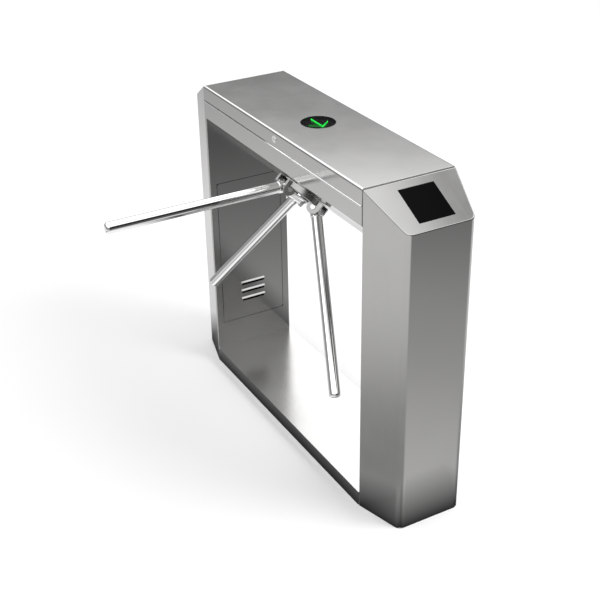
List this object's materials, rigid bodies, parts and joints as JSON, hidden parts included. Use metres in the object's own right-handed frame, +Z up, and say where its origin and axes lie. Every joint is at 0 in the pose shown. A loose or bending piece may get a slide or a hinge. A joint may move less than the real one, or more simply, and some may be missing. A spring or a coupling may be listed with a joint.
{
  "type": "tripod turnstile",
  "caption": "Waist-high bridge turnstile: two tapered columns carry a hinged-lid beam whose tilted rotor holds arms that turn to admit one person and drop in an emergency.",
  "frame": {"origin": "on the floor, at the middle of the anchor hole pattern, under the middle of the frame", "axes": "+X along the passage towards one reader column, -Y towards the passage that the arms bar, +Z up"},
  "size_m": [1.2, 0.796, 0.98],
  "materials": {
    "brushed_stainless": "satin brushed stainless sheet",
    "polished_tube": "mirror polished",
    "cast_hub": "fine machined and satin",
    "zinc_steel": "zinc plated, slightly mottled",
    "bright_steel": "turned and bright",
    "smoked_pane": "smoked, glossy",
    "lamp_green": "clear dome, lit",
    "circuit_board": "solder mask",
    "black_plastic": "moulded, fine grain",
    "grey_plastic": "moulded",
    "dark_metal": "stoved satin black",
    "grey_metal": "hammered grey",
    "rubber_ring": "soft",
    "lock_chrome": "polished"
  },
  "bodies": {
    "cabinet": {"base_channel": "brushed_stainless", "beam_bolts": "zinc_steel", "beam_housing": "brushed_stainless", "bearing_housing": "grey_metal", "bearing_outer_races": "bright_steel", "cable_grommet": "rubber_ring", "card_readers": "black_plastic", "clutch_coil": "dark_metal", "control_board": "circuit_board", "counter_module": "grey_plastic", "door_hinge_pins": "bright_steel", "drive_motor": "dark_metal", "encoder_sensor": "black_plastic", "far_column_shell": "brushed_stainless", "foot_plates": "zinc_steel", "lid_hinge_fixed_leaves": "zinc_steel", "lid_hinge_pins": "bright_steel", "mechanism_plate": "zinc_steel", "mechanism_posts": "zinc_steel", "mechanism_screws": "zinc_steel", "motor_gearbox": "grey_metal", "motor_plate": "zinc_steel", "near_column_shell": "brushed_stainless", "power_supply": "grey_metal", "reader_windows": "smoked_pane", "terminal_block": "lock_chrome"},
    "lid": {"lid": "brushed_stainless", "indicator_lens": "smoked_pane", "indicator_board": "circuit_board", "indicator_leds": "lamp_green", "lid_hinge_moving_leaves": "zinc_steel", "lid_lock_housing": "lock_chrome"},
    "lid_lock": {"lid_lock_plug": "lock_chrome", "lid_lock_cam": "lock_chrome"},
    "far_door": {"far_door_panel": "brushed_stainless", "far_door_lock_housing": "lock_chrome"},
    "near_door": {"near_door_panel": "brushed_stainless", "near_door_lock_housing": "lock_chrome"},
    "far_door_lock": {"far_door_lock_plug": "lock_chrome"},
    "near_door_lock": {"near_door_lock_plug": "lock_chrome"},
    "rotor": {"rotor_shaft": "bright_steel", "bearing_inner_races": "bright_steel", "bearing_balls": "bright_steel", "hub_disc": "cast_hub", "hub_cap": "cast_hub", "encoder_disc": "bright_steel", "clutch_armature": "bright_steel", "arm_pivot_pins": "bright_steel"},
    "arm_1": {"arm_1_tube": "polished_tube", "arm_1_knuckle": "polished_tube", "arm_1_end_cap": "polished_tube"},
    "arm_2": {"arm_2_tube": "polished_tube", "arm_2_knuckle": "polished_tube", "arm_2_end_cap": "polished_tube"},
    "arm_3": {"arm_3_tube": "polished_tube", "arm_3_knuckle": "polished_tube", "arm_3_end_cap": "polished_tube"}
  },
  "joints": [
    {"name": "lid_hinge", "type": "hinge", "parent": "cabinet", "child": "lid", "pos_m": [0, 0.144, 0.935], "axis": [-1, 0, 0], "range_deg": [0, 95]},
    {"name": "lid_lock_turn", "type": "hinge", "parent": "lid", "child": "lid_lock", "pos_m": [0, -0.14, 0.958], "axis": [0, 1, 0], "range_deg": [0, 90]},
    {"name": "far_door_hinge", "type": "hinge", "parent": "cabinet", "child": "far_door", "pos_m": [-0.456, 0.107, 0.394], "axis": [0, 0, 1], "range_deg": [0, 105]},
    {"name": "far_door_lock_turn", "type": "hinge", "parent": "far_door", "child": "far_door_lock", "pos_m": [-0.452, 0, 0.597], "axis": [1, 0, 0], "range_deg": [0, 90]},
    {"name": "near_door_hinge", "type": "hinge", "parent": "cabinet", "child": "near_door", "pos_m": [0.456, 0.107, 0.394], "axis": [0, 0, -1], "range_deg": [0, 105]},
    {"name": "near_door_lock_turn", "type": "hinge", "parent": "near_door", "child": "near_door_lock", "pos_m": [0.452, 0, 0.597], "axis": [1, 0, 0], "range_deg": [0, 90]},
    {"name": "rotor_spin", "type": "hinge", "parent": "cabinet", "child": "rotor", "pos_m": [0, -0.019, 0.813], "axis": [0, -0.7071, -0.7071], "continuous": true},
    {"name": "arm_1_drop", "type": "hinge", "parent": "rotor", "child": "arm_1", "pos_m": [0, -0.10951, 0.813], "axis": [1, 0, 0], "range_deg": [0, 90]},
    {"name": "arm_2_drop", "type": "hinge", "parent": "rotor", "child": "arm_2", "pos_m": [-0.05543, -0.04163, 0.74512], "axis": [-0.5, -0.6124, 0.6124], "range_deg": [0, 18]},
    {"name": "arm_3_drop", "type": "hinge", "parent": "rotor", "child": "arm_3", "pos_m": [0.05543, -0.04163, 0.74512], "axis": [-0.5, 0.6124, -0.6124], "range_deg": [0, 18]}
  ]
}
